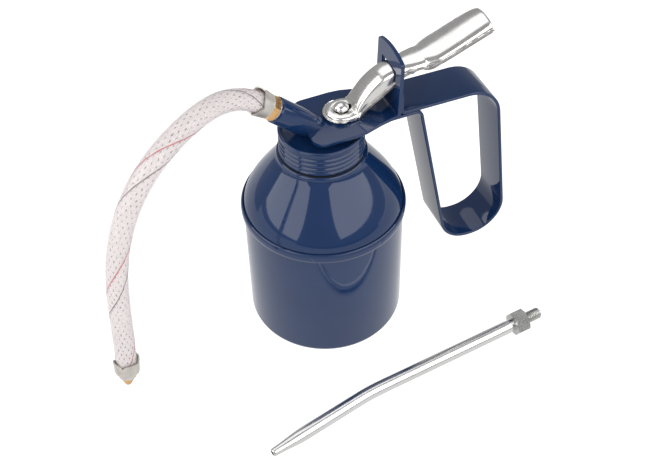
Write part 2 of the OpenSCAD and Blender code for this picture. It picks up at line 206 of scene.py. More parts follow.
def noise(tree, scale, detail, stretch):
    where = tree.nodes.new("ShaderNodeTexCoord")
    mapping = tree.nodes.new("ShaderNodeMapping")
    mapping.inputs["Scale"].default_value = stretch
    tex = tree.nodes.new("ShaderNodeTexNoise")
    tex.inputs["Scale"].default_value = scale
    tex.inputs["Detail"].default_value = detail
    tree.links.new(where.outputs["Object"], mapping.inputs["Vector"])
    tree.links.new(mapping.outputs[0], tex.inputs["Vector"])
    return tex.outputs["Fac"]


# The part of a noise's range that its looks are spread over
NOISE_LOW, NOISE_HIGH = 0.3, 0.7


def spread(tree, value, low, high):
    node = tree.nodes.new("ShaderNodeMapRange")
    node.inputs["From Min"].default_value = NOISE_LOW
    node.inputs["From Max"].default_value = NOISE_HIGH
    node.inputs["To Min"].default_value = low
    node.inputs["To Max"].default_value = high
    tree.links.new(value, node.inputs["Value"])
    return node.outputs[0]


def two_tone(tree, value, a, b):
    node = tree.nodes.new("ShaderNodeValToRGB")
    node.color_ramp.elements[0].position = NOISE_LOW
    node.color_ramp.elements[1].position = NOISE_HIGH
    node.color_ramp.elements[0].color = (*a, 1)
    node.color_ramp.elements[1].color = (*b, 1)
    tree.links.new(value, node.inputs[0])
    return node.outputs[0]


def bump(tree, shader, layers):
    """layers: (height, strength, distance in mm), from broad to fine."""
    last = None
    for height, strength, distance in layers:
        node = tree.nodes.new("ShaderNodeBump")
        node.inputs["Strength"].default_value = strength
        node.inputs["Distance"].default_value = distance * MM
        tree.links.new(height, node.inputs["Height"])
        if last:
            tree.links.new(last, node.inputs["Normal"])
        last = node.outputs[0]
    tree.links.new(last, shader.inputs["Normal"])


GRAIN = 900


def plain_surface(metal, a, b, rough, scale, layers, stretch=(1, 1, 1), spec=0.5):
    """A builder for one finish: two near colours, a roughness range and bump layers.

    Each layer is the scale of its noise, its strength and its depth in millimetres.
    """
    def build(tree, shader):
        broad = noise(tree, scale, 4, stretch)
        fine = noise(tree, GRAIN, 3, stretch)
        tree.links.new(two_tone(tree, broad, a, b), shader.inputs["Base Color"])
        tree.links.new(spread(tree, fine, *rough), shader.inputs["Roughness"])
        shader.inputs["Metallic"].default_value = metal
        shader.inputs["Specular IOR Level"].default_value = spec
        bump(tree, shader, [(noise(tree, s, 3, stretch), k, d) for s, k, d in layers])
    return build


PAINT = material("blue_enamel", plain_surface(
    0.0, (0.0045, 0.019, 0.068), (0.006, 0.024, 0.080), (0.05, 0.085), 35,
    [(90, 0.10, 0.10), (420, 0.05, 0.02)]))
PLATE = material("bright_plate", plain_surface(
    1.0, (0.70, 0.69, 0.67), (0.80, 0.79, 0.775), (0.13, 0.22), 120,
    [(75, 0.14, 0.25), (600, 0.06, 0.03)]))
ZINC = material("zinc_tube", plain_surface(
    1.0, (0.68, 0.675, 0.665), (0.78, 0.775, 0.77), (0.16, 0.26), 90,
    [(160, 0.10, 0.06), (900, 0.08, 0.02)], stretch=(0.12, 1, 1)))
NUT = material("zinc_nut", plain_surface(
    1.0, (0.42, 0.42, 0.405), (0.56, 0.56, 0.54), (0.20, 0.32), 220,
    [(350, 0.16, 0.05), (1500, 0.10, 0.02)]))
DULL = material("dull_ferrule", plain_surface(
    0.85, (0.50, 0.47, 0.43), (0.68, 0.65, 0.60), (0.34, 0.52), 260,
    [(420, 0.35, 0.06), (1800, 0.2, 0.03)]))
BRASS = material("turned_brass", plain_surface(
    1.0, (0.66, 0.37, 0.14), (0.82, 0.52, 0.24), (0.22, 0.34), 200,
    [(300, 0.18, 0.05), (1600, 0.14, 0.02)]))
STEEL = material("plain_steel", plain_surface(
    1.0, (0.46, 0.46, 0.45), (0.58, 0.58, 0.57), (0.24, 0.38), 150,
    [(500, 0.1, 0.03)], stretch=(1, 1, 0.2)))
# Rougher metal, much darker than the plate: painted shade along the lever's flange feet and lips
SHADED_ROUGH_EDGE = material("rough_edge_painted_shade", plain_surface(
    1.0, (0.20, 0.195, 0.19), (0.46, 0.45, 0.44), (0.30, 0.50), 420,
    [(260, 0.5, 0.25), (1500, 0.3, 0.04)]))
DARK = material("dark_steel", plain_surface(
    1.0, (0.05, 0.05, 0.055), (0.11, 0.11, 0.115), (0.3, 0.45), 180,
    [(500, 0.2, 0.04)]))
RUBBER = material("black_rubber", plain_surface(
    0.0, (0.004, 0.005, 0.008), (0.010, 0.011, 0.014), (0.55, 0.75), 180,
    [(700, 0.25, 0.05)], spec=0.15))
YARN = material("braid_yarn", plain_surface(
    0.0, (0.74, 0.69, 0.68), (0.83, 0.78, 0.77), (0.55, 0.75), 500,
    [(2500, 0.4, 0.04)], spec=0.3))
RED = material("red_tracer", plain_surface(
    0.0, (0.46, 0.012, 0.025), (0.60, 0.03, 0.045), (0.5, 0.7), 500, [(2500, 0.3, 0.03)], spec=0.3))
# A dark strand that is painted shade: it stands for the red tracer's far side, seen dark through the
# hose
SHADE_TRACER = material("tracer_painted_shade", plain_surface(
    0.0, (0.035, 0.012, 0.02), (0.06, 0.02, 0.03), (0.5, 0.7), 500, [(2500, 0.3, 0.03)], spec=0.3))


def clear_build(alpha):
    def build(tree, shader):
        plain_surface(0.0, (0.62, 0.575, 0.575), (0.70, 0.65, 0.65), (0.08, 0.16), 60,
                      [(110, 0.25, 0.12), (700, 0.05, 0.02)])(tree, shader)
        shader.inputs["Alpha"].default_value = alpha
    return build


CLEAR = material("clear_hose", clear_build(0.24))
LINER = material("inner_liner", clear_build(0.4))


# ---------- camera ----------

back = unit(arr(-0.2526, -0.6384, 0.7270))
right0 = unit(np.cross(arr(0, 0, 1), back))
up0 = np.cross(back, right0)
roll = math.radians(-1.72)
right = math.cos(roll) * right0 + math.sin(roll) * up0
up = -math.sin(roll) * right0 + math.cos(roll) * up0
lens = bpy.data.cameras.new("camera")
lens.lens = 64.36
lens.sensor_width = 36
lens.sensor_fit = "HORIZONTAL"
lens.clip_start = 0.01
lens.clip_end = 50
camera = link("camera", lens)
turn = Matrix([[right[i], up[i], back[i]] for i in range(3)]).to_4x4()
camera.matrix_world = Matrix.Translation(Vector((-0.1465, -0.3679, 0.4662))) @ turn
bpy.context.scene.camera = camera


# ---------- hose spout ----------

BOSS_ANGLE = math.radians(43)
BOSS_FOOT = arr(-2.6, 0, 117.2)
BOSS_DIR = arr(-math.cos(BOSS_ANGLE), 0, math.sin(BOSS_ANGLE))
BOSS_SIDE = arr(0, 1, 0)
BOSS_UP = np.cross(BOSS_DIR, BOSS_SIDE)
BOSS_LEN = 26.9
NUT_T = 3.6
WASHER_T = 0.6


def on_boss(along=0.0):
    """Places a point drawn with its axis on +Z onto the boss axis."""
    start = BOSS_FOOT + BOSS_DIR * along
    return lambda v: start + BOSS_DIR * v[2] + BOSS_SIDE * v[0] + BOSS_UP * v[1]


HOSE_R = 5.2
# The hose's centre line, as three curves from the brass nut to the tip nozzle
start = BOSS_FOOT + BOSS_DIR * (BOSS_LEN + WASHER_T + NUT_T)
JOIN_HIGH = arr(-70.6, -19.4, 154)
JOIN_LOW = arr(-106.4, -31.9, 108.9)
CURVES = [
    [start, start + BOSS_DIR * 19.6, arr(-53.9, -11.3, 158.5), JOIN_HIGH],
    [JOIN_HIGH, arr(-94.2, -30.9, 147.8), arr(-102.5, -30.3, 123.9), JOIN_LOW],
    [JOIN_LOW, arr(-111.3, -33.9, 90.1), arr(-110.2, -30.9, 68.5), arr(-114, -36.5, 38.2)]]


def bezier(p, t):
    u = 1 - t
    return u ** 3 * p[0] + 3 * u * u * t * p[1] + 3 * u * t * t * p[2] + t ** 3 * p[3]


STEPS = 104
LINE = [bezier(c, i / STEPS) for c in CURVES for i in range(STEPS)] + [CURVES[-1][3]]
FRAMES = frames(LINE)
ARC = [0.0]
for a, b in zip(LINE, LINE[1:]):
    ARC.append(ARC[-1] + float(np.linalg.norm(b - a)))
HOSE_LEN = ARC[-1]


def hose_point(i, angle, r):
    _, u, v = FRAMES[i]
    return LINE[i] + r * (math.cos(angle) * u + math.sin(angle) * v)


def hose_wall(i, angle, r):
    """The wall is squeezed and pleated where the end fitting grips it."""
    near = step(10.0, 3.0, HOSE_LEN - ARC[i])
    start_grip = step(6.0, 0.5, ARC[i])
    pleat = near * (0.34 * math.cos(6 * angle + 0.4) + 0.12 * math.cos(11 * angle))
    return r * (1 - 0.085 * near - 0.04 * start_grip) + pleat * (r / HOSE_R)


verts, faces, index = [], [], []


def add(more_verts, more_faces, mat):
    base = len(verts)
    verts.extend(more_verts)
    faces.extend(tuple(a + base for a in f) for f in more_faces)
    index.extend([mat] * len(more_faces))


def tube(r_out, r_in, n, mat):
    """A closed wall along the hose, ringed at every third point of its line."""
    angles = [TAU * k / n for k in range(n)]
    rows = list(range(0, len(LINE), 3))
    outer = [[hose_point(i, t, hose_wall(i, t, r_out)) for t in angles] for i in rows]
    inner = [[hose_point(i, t, hose_wall(i, t, r_in)) for t in angles] for i in rows[::-1]]
    add(*rings(outer + inner), mat)


# Order of the hose's materials
OF_WALL, OF_LINER, OF_YARN, OF_RED, OF_SHADE_TRACER = range(5)
PITCH = 62.4
YARNS = 12
YARN_SHIFT = 0.257
YARN_R = 4.45
TRACER_R = 4.74


def yarn(family, k, width, thick, mat, centre_r=YARN_R):
    """One flat yarn of the braid, over and under the other family, a little uneven along its length.

    family is 1 or -1, for the two ways round, and k is the yarn's place in it.
    """
    loops = []
    for i in range(len(LINE)):
        s = ARC[i]
        uneven = math.sin(0.19 * s + 1.7 * k) * math.sin(0.071 * s + 0.9 * k * family)
        fine = math.sin(0.83 * s + 2.3 * k + family)
        angle = TAU * k / YARNS + YARN_SHIFT - family * TAU * s / PITCH + 0.035 * uneven
        r = centre_r + 0.10 * math.cos(TAU * YARNS * s / PITCH) * family
        r = hose_wall(i, angle, r)
        half = width * (1 + 0.16 * uneven + 0.05 * fine) / 2 / r
        loops.append([hose_point(i, angle, r + thick / 2), hose_point(i, angle + half, r),
                      hose_point(i, angle, r - thick / 2), hose_point(i, angle - half, r)])
    add(*capped(loops), mat)


tube(HOSE_R, 4.86, 40, OF_WALL)
tube(4.05, 3.25, 28, OF_LINER)
for k in range(YARNS):
    for family in (1, -1):
        yarn(family, k, 1.72, 0.2, OF_YARN)
yarn(-1, 4.8, 0.66, 0.14, OF_RED, centre_r=TRACER_R)
# Painted shade: a dark strand for the red tracer's far side seen through the hose
yarn(-1, 1.8, 0.60, 0.14, OF_SHADE_TRACER, centre_r=TRACER_R)
hose = make("hose_braided", verts, faces, [CLEAR, LINER, YARN, RED, SHADE_TRACER], "spout",
            ["hose"], sharp=60, index=index)


def petals(r_mouth, r_foot, length, lip, count, notch, twist, grip=0.25):
    """A pressed ferrule with its mouth at height 0 and its foot at height length.

    The mouth has count petals that stand out by lip, and the notches between them go in by notch.
    It narrows from the share grip of its length to its foot.
    """
    rows, n, wall = 14, 96, 0.7
    outer, inner = [], []
    for i in range(rows + 1):
        s = i / rows
        ro, ri = [], []
        for k in range(n):
            t = TAU * k / n
            wave = abs(math.cos(count * (t + twist) / 2))
            z = lip * (1 - s) * -wave + length * s + notch * (1 - s) * (1 - wave) ** 3
            flare = 0.45 * wave * (1 - s) ** 3
            r = lerp(r_mouth, r_foot, step(grip, 1.0, s)) + flare
            ro.append(arr(r * math.cos(t), r * math.sin(t), z))
            ri.append(arr((r - wall) * math.cos(t), (r - wall) * math.sin(t), z))
        outer.append(ro)
        inner.append(ri)
    return rings(outer + inner[::-1])


# Root ferrule: mouth towards the hose
v, f = petals(6.3, 5.85, -5.6, -1.0, 4, -0.7, twist=0.62)
place = on_boss(BOSS_LEN + WASHER_T + NUT_T + 5.7)
make("root_ferrule_pressed", [place(p) for p in v], f, DULL, "spout",
     ["root_ferrule"], sharp=50)

# Tip ferrule and nozzle, placed on the hose's last stretch
TIP_LEAN = math.radians(12.5)
TIP_HEAD = math.radians(236)
END = LINE[-1]
lean = math.pi - TIP_LEAN
TIP_DIR = arr(math.sin(lean) * math.cos(TIP_HEAD),
              math.sin(lean) * math.sin(TIP_HEAD), math.cos(lean))
TIP_SIDE = unit(np.cross(TIP_DIR, arr(0, 1, 0)))
TIP_UP = np.cross(TIP_DIR, TIP_SIDE)


def on_tip(v):
    return END + TIP_DIR * v[2] + TIP_SIDE * v[0] + TIP_UP * v[1]


v, f = petals(5.8, 4.1, 8.8, 0.9, 4, 1.0, twist=0.2, grip=0.6)
tip_ferrule = make("tip_ferrule_pressed", [on_tip(p + arr(0, 0, -6.5)) for p in v], f, DULL, "spout",
                   ["tip_ferrule"], sharp=50)
profile = fillet([(0.9, -6), (2.95, -6), (2.95, 0), (2.9, 0.2), (2.9, 2.9), (3.1, 3.1), (3.0, 3.9),
                  (1.6, 7.0), (0.9, 7.0)], 0.25, 3)
v, f = lathe(profile, 48, on_tip)
tip_nozzle = make("tip_nozzle_turned", v, f, BRASS, "spout", ["tip_nozzle"])


def hex_nut(across, height, bore, place, name, mat, body, node, crown_at, turn_by=0.0):
    """A hexagon with chamfered ends, drawn on +Z.

    crown_at is the radius of its end face over half its width across the flats.
    """
    n = 96
    flat = across / 2
    crown = flat * crown_at
    loops = []
    for k in range(n):
        t = TAU * k / n
        q = (t % (TAU / 6)) - TAU / 12
        r = flat / math.cos(q)
        drop = max(0.05, (r - crown) * math.tan(math.radians(30)))
        row = [(bore, 0.3), (bore + 0.3, 0), (crown, 0), (r, drop), (r, height - drop),
               (crown, height), (bore + 0.3, height), (bore, height - 0.3)]
        a = t + turn_by
        loops.append([arr(x * math.cos(a), x * math.sin(a), z) for x, z in row])
    v, f = rings(loops)
    make(name, [place(p) for p in v], f, mat, body, [node], sharp=22)


hex_nut(10.74, NUT_T, 1.6, on_boss(BOSS_LEN + WASHER_T), "hose_nut_hex", BRASS, "spout",
        "hose_nut", crown_at=1.06, turn_by=math.radians(30))


# ---------- reservoir ----------

BODY_R = 38.75
SHEET = 0.8
bead_r = BODY_R + 1.25
cup = fillet([(0, 0.3, 0), (31.5, 0.3, 0.3), (32.2, 0, 0.3), (BODY_R, 0, 5.0), (BODY_R, 67.2, 0.4),
              (bead_r - 0.35, 68.0, 0.5), (bead_r, 69.2, 0.8), (bead_r, 71.4, 0.8),
              (bead_r - 0.4, 72.6, 0.5), (BODY_R + 0.1, 73.1, 0.2), (BODY_R + 0.02, 69.3, 0),
              (BODY_R - SHEET, 69.1, 0), (BODY_R - SHEET, 0.8, 4.2), (0, 0.8, 0)], 0.2, 8)
v, f = lathe(cup, 160)
make("cup_drawn", v, f, PAINT, "can", ["reservoir_cup"], weld=1e-3)


def dome(inset):
    p = [arr(BODY_R - inset, 71), arr(BODY_R - inset, 77.5), arr(BODY_R - 7.5 - inset, 87 - inset),
         arr(20.65, 101.6 - inset * 1.2)]
    return [tuple(bezier(p, i / 40)) for i in range(41)]


NECK_R = 18.1
NECK_LOW, NECK_HIGH = 105.0, 112.3
NECK_PITCH = 2.1
neck = [(NECK_R, z) for z in np.linspace(NECK_LOW, NECK_HIGH, 60)]
collar = [(20.9, 101.75), (21.35, 102.1), (21.5, 102.7), (21.5, 103.2), (21.3, 103.9), (20.8, 104.4),
          (19.9, 104.55)]
profile = ([(BODY_R - SHEET, 69.2), (BODY_R - 0.05, 69.2)] + dome(0)[:-1] + collar
           + [(NECK_R, 104.55)] + neck
           + [(NECK_R - 0.2, 112.6), (NECK_R - SHEET, 112.6), (NECK_R - SHEET, 102.5)]
           + dome(SHEET)[::-1])


def neck_thread(r, z, t):
    if abs(r - NECK_R) < 0.01 and z > 104.9:
        fade = step(NECK_LOW, 106.2, z) * step(NECK_HIGH, 111.4, z)
        return r + 0.35 * fade * (0.5 + 0.5 * math.cos(TAU * z / NECK_PITCH - t)), z
    return r, z


v, f = lathe(profile, 160, wave=neck_thread)
make("dome_drawn", v, f, PAINT, "can", ["reservoir_dome"])


# ---------- screw cap ----------

CAP_R = 20.1
CAP_PITCH = 2.6
RIBS_LOW, RIBS_HIGH = 106.0, 116.4
wall = [(CAP_R, z) for z in np.linspace(RIBS_LOW, RIBS_HIGH, 110)]
rim = [(CAP_R - 0.85 + 0.9 * math.cos(a), 117.15 + 0.85 * math.sin(a))
       for a in np.radians(range(0, 181, 20))]
profile = ([(18.9, 105.3), (20.05, 105.3), (20.3, 105.5), (20.3, 105.8), (CAP_R, 105.95)] + wall + rim
           + [(18.35, 116.5), (18.1, 116.25), (17.7, 116.2), (0, 116.2), (0, 115.4), (18.9, 115.4)])


def cap_ribs(r, z, t):
    if abs(r - CAP_R) < 0.01 and RIBS_LOW - 0.01 < z < RIBS_HIGH + 0.01:
        fade = step(RIBS_LOW, 107.0, z) * step(RIBS_HIGH, 115.6, z)
        s = 0.5 + 0.5 * math.cos(TAU * (z - 106.1) / CAP_PITCH - t)
        return r - 0.72 * fade * (1 - s) ** 1.7, z
    return r, z


v, f = lathe(profile, 180, wave=cap_ribs)
make("cap_ribbed", v, f, PAINT, "head", ["screw_cap"], sharp=55, weld=1e-3)


# ---------- bent sheet parts ----------

def rounded_line(points):
    """A 2-D line (x, z, r) with rounded corners."""
    steps = 14
    out = []
    for i, p in enumerate(points):
        b = arr(*p[:2])
        if i in (0, len(points) - 1):
            out.append(b)
            continue
        a, c = arr(*points[i - 1][:2]), arr(*points[i + 1][:2])
        u, w = unit(a - b), unit(c - b)
        half = math.acos(float(u @ w)) / 2
        r = p[2]
        backed = r / math.tan(half)
        centre = b + unit(u + w) * r / math.sin(half)
        s, e = b + u * backed - centre, b + w * backed - centre
        start_angle = math.atan2(s[1], s[0])
        turned = math.atan2(s[0] * e[1] - s[1] * e[0], float(s @ e))
        for k in range(steps + 1):
            t = start_angle + turned * k / steps
            out.append(centre + r * arr(math.cos(t), math.sin(t)))
    return out


def strip(line, half_width, thick, round_r):
    """A strip with rounded edges lofted along a 2-D line in the XZ plane.

    half_width takes a place along the line and the line's whole length.
    """
    loops = []
    n = len(line)
    total = [0.0]
    for a, b in zip(line, line[1:]):
        total.append(total[-1] + float(np.linalg.norm(b - a)))
    for i, p in enumerate(line):
        t = unit(line[min(i + 1, n - 1)] - line[max(i - 1, 0)])
        normal = arr(-t[1], t[0])
        w = half_width(total[i], total[-1])
        h = thick / 2
        section = fillet([(-w, -h), (w, -h), (w, h), (-w, h)], round_r, 4)
        loops.append([arr(p[0] + normal[0] * z, y, p[1] + normal[1] * z) for y, z in section])
    return capped(loops)


def densify(line, longest):
    out = [line[0]]
    for a, b in zip(line, line[1:]):
        k = max(1, int(math.ceil(float(np.linalg.norm(b - a)) / longest)))
        out += [a + (b - a) * j / k for j in range(1, k + 1)]
    return out


STRAP_T = 1.6
CAP_TOP = 118.0
PLATE_TOP = 121.4
PLATE_T = 1.8
GUIDE_X = 32.7
GUIDE_LEAN = math.radians(2)
TURNED_UP = 12
low = CAP_TOP + STRAP_T / 2
high = PLATE_TOP - 0.7
behind = GUIDE_X + PLATE_T + 0.15 + STRAP_T / 2
strap_line = rounded_line([
    (18.6, low, 0), (45.5, low, 4), (63.9, 23.5, 16.5), (97.6, 23.5, 16.5), (85.4, high - 1.2, 18),
    (behind, high, 2), (behind + TURNED_UP * math.tan(GUIDE_LEAN), high + TURNED_UP, 0)])


def strap_half(s, total):
    """Half the strip's width, with its end corners rounded."""
    corner = 1.6
    end = min(s, total - s)
    return 11 - corner * (1 - math.sqrt(max(0.0, 1 - (1 - min(1.0, end / corner)) ** 2)))


strap_line = densify(strap_line, 4)
# Extra points close to the first end, for its rounded corners
first = strap_line[0]
strap_line = [first + (strap_line[1] - first) * t for t in (0, 0.05, 0.12, 0.22, 0.4)] + strap_line[1:]
v, f = strip(strap_line, strap_half, STRAP_T, 0.62)
make("handle_strip", v, f, PAINT, "head", ["handle_strap"], sharp=50)


def bracket():
    """The plate and its upright guide as one bent sheet with a window, drawn flat and then bent."""
    half_t = PLATE_T / 2
    mid_z = PLATE_TOP - half_t
    mid_x = GUIDE_X + half_t
    bend_r = 1.9
    angle = math.pi / 2 - GUIDE_LEAN
    reach = bend_r * math.tan(angle / 2)
    flat_end = mid_x - reach
    arc = bend_r * angle
    up_start = flat_end + arc
    shift = up_start - reach

    def rise(height):
        """Flat position of a height above the plate's mid plane on the guide."""
        return shift + height / math.cos(GUIDE_LEAN)

    def bend(u, v, h):
        """Where the flat point (u, v), h above the mid plane, is once the sheet is bent."""
        if u <= flat_end:
            return arr(u, v, mid_z + h)
        a = (u - flat_end) / bend_r if u <= up_start else angle
        foot = arr(flat_end + (bend_r - h) * math.sin(a), v,
                   mid_z + bend_r - (bend_r - h) * math.cos(a))
        d = max(0.0, u - up_start)
        return foot + arr(math.cos(a) * d, 0, math.sin(a) * d)

    top = 151.8 - mid_z
    half = 12.0
    crown = 2.4
    side_top = top - crown
    arc_r = (half * half + crown * crown) / (2 * crown)
    reach_a = math.asin(half / arc_r)
    edge = [(-9, 16.4, 5.5), (10.5, 16.4, 3), (16, 15.8, 4), (24, 13.4, 6), (31.0, half, 4),
            (rise(side_top), half, 1.0)]
    outline = [(x, -y, r) for x, y, r in edge]
    outline += [(rise(top - arc_r + arc_r * math.cos(a)), arc_r * math.sin(a), 0)
                for a in np.linspace(-reach_a, reach_a, 15)[1:-1]]
    outline += edge[::-1]
    outline = fillet(outline, 0, 6)
    w0, w1 = rise(134.1 - mid_z), rise(142.9 - mid_z)
    window = fillet([(w0, -7.35), (w1, -7.35), (w1, 7.35), (w0, 7.35)], 0.7, 4)
    bm = bmesh.new()
    for loop in (outline, window):
        vs = [bm.verts.new((x, y, 0)) for x, y in loop]
        for a, b in zip(vs, vs[1:] + vs[:1]):
            bm.edges.new((a, b))
    bmesh.ops.triangle_fill(bm, edges=bm.edges[:], use_beauty=True)
    for x in list(np.linspace(flat_end, up_start, 9)) + [30.0, w0 - 1.5, w1 + 1.5]:
        bmesh.ops.bisect_plane(bm, geom=bm.verts[:] + bm.edges[:] + bm.faces[:],
                               plane_co=(x, 0, 0), plane_no=(1, 0, 0))
    bmesh.ops.remove_doubles(bm, verts=bm.verts, dist=1e-4)
    bm.normal_update()
    bm.verts.index_update()
    pts = [(vert.co.x, vert.co.y) for vert in bm.verts]
    faces = []
    for face in bm.faces:
        corners = [vert.index for vert in face.verts]
        faces.append(corners if face.normal.z > 0 else corners[::-1])
    rim_edges = [tuple(vert.index for vert in edge.verts)
                 for edge in bm.edges if len(edge.link_faces) == 1]
    directed = {(f[i], f[(i + 1) % len(f)]) for f in faces for i in range(len(f))}
    bm.free()
    n = len(pts)
    verts = [bend(x, y, half_t) for x, y in pts] + [bend(x, y, -half_t) for x, y in pts]
    out = [tuple(f) for f in faces] + [tuple(a + n for a in reversed(f)) for f in faces]
    for a, b in rim_edges:
        if (a, b) not in directed:
            a, b = b, a
        out.append((b, a, a + n, b + n))
    piece = make("bracket_bent", verts, out, PAINT, "head", ["pump_bracket"], sharp=40)
    bevel = piece.modifiers.new("edges", "BEVEL")
    bevel.width = 0.55 * MM
    bevel.segments = 3
    bevel.limit_method = "ANGLE"
    bevel.angle_limit = math.radians(50)
    bevel.harden_normals = True


bracket()


def bead(name, path):
    """A weld bead, a little lumpy, with rounded ends."""
    loops = []
    for i, (_, u, w) in enumerate(frames(path)):
        end = min(1, min(i, len(path) - 1 - i) / 3)
        r = 0.62 * math.sqrt(max(0.02, 1 - (1 - end) ** 2)) * (1 + 0.10 * math.sin(2.6 * i))
        loops.append(ring(path[i], r, 12, u, w))
    v, f = capped(loops)
    make(name, v, f, PAINT, "head", sharp=60)


# Beads down both edges of the strip's turned-up end, against the guide
for name, y in (("weld_near", -11.05), ("weld_far", 11.05)):
    bead(name, [arr(34.55 + (z - 121.1) * math.tan(GUIDE_LEAN), y, z)
                for z in np.linspace(123.6, 131.8, 18)])

# Spout boss with a bevelled mouth
profile = fillet([(3, -4), (6.2, -4), (6.2, BOSS_LEN - 1.0, 0.25), (5.5, BOSS_LEN - 0.05, 0.15),
                  (3.6, BOSS_LEN - 0.05), (3, BOSS_LEN - 0.6)], 0.1, 4)
v, f = lathe(profile, 96, on_boss())
make("boss_turned", v, f, PAINT, "head", ["spout_boss"])


# ---------- thumb lever ----------

ROD_X = 10
# x, top of the web, half width, depth of the flanges
STATIONS = [
    (10, 124.8, 7.8, 3.0), (14.4, 124.8, 7.4, 3.0), (16.4, 128.2, 7.1, 5.4), (19, 132, 6.9, 7.3),
    (22, 135.5, 6.9, 8.7), (26, 138.8, 6.9, 9.2), (30, 141, 6.9, 8.6), (34, 142, 6.9, 6.8),
    (38, 142.9, 6.9, 4.8), (44, 143.8, 7.1, 4.2), (48, 144.2, 7.7, 4.0), (52, 145, 8.8, 4.0),
    (57, 146.7, 9.4, 4.2), (65, 150, 9.4, 4.4), (73, 153.4, 9.4, 4.6), (79, 155.6, 9.1, 4.8),
    (80.2, 155.9, 8.9, 4.8)]
SX = [s[0] for s in STATIONS]


def station(x):
    """Smooth values between the listed sections."""
    out = []
    for c in (1, 2, 3):
        ys = [s[c] for s in STATIONS]
        i = max(0, min(len(SX) - 2, int(np.searchsorted(SX, x, side="right")) - 1))
        h = SX[i + 1] - SX[i]
        t = (x - SX[i]) / h

        def slope(j):
            if j == 0:
                return 0.0
            if j == len(SX) - 1:
                return (ys[j] - ys[j - 1]) / (SX[j] - SX[j - 1])
            a = (ys[j] - ys[j - 1]) / (SX[j] - SX[j - 1])
            b = (ys[j + 1] - ys[j]) / (SX[j + 1] - SX[j])
            return 0.0 if a * b <= 0 else 2 * a * b / (a + b)
        m0, m1 = slope(i) * h, slope(i + 1) * h
        out.append((2 * t ** 3 - 3 * t * t + 1) * ys[i] + (t ** 3 - 2 * t * t + t) * m0
                   + (-2 * t ** 3 + 3 * t * t) * ys[i + 1] + (t ** 3 - t * t) * m1)
    return out


def half_section(w, top, depth, lip, power, dish=0.0):
    """From the centre of the web out, down the flange and out to the end of its lip."""
    side = w - lip
    shoulder = min(side * 0.6, depth * 0.74)
    pts = []
    for i in range(13):
        a = math.pi / 2 * (1 - i / 12)
        y = side * math.cos(a) ** power
        z = top - shoulder + shoulder * math.sin(a) ** power
        pts.append((y, z - dish * step(0.72 * side, 0.42 * side, y)))
    foot = top - depth
    flat = foot + 1.1
    r = min(0.6, max(0.05, lip * 0.9))
    bottom = flat + r if lip > 0.05 else foot + 0.3
    for t in (0.35, 0.7):
        pts.append((side, lerp(top - shoulder, bottom, t)))
    across, down = min(r, lip), min(r, lip if lip > 0.05 else 0.3)
    for k in range(5):
        a = math.pi / 2 * k / 4
        pts.append((lerp(side, w, 0.001) + across * (1 - math.cos(a)), bottom - down * math.sin(a)))
    pts.append((max(w, side + 0.001), pts[-1][1] - 0.002))
    return pts


def lip_at(x):
    """How far the flange's foot turns out."""
    neck = 0.85 * step(13.5, 17, x) * step(43, 39, x)
    pad = 1.0 * step(48.6, 49.6, x)
    return 0.25 * step(12, 8, x) + neck + pad


def bump_at(x):
    """The flange bulges down where the pad begins."""
    return 1.1 * step(46.4, 48.8, x) * step(55.5, 50.5, x)


def both_sides(x, half):
    """The whole section at x from its half."""
    return [arr(x, y, z) for y, z in half[::-1]] + [arr(x, -y, z) for y, z in half[1:]]


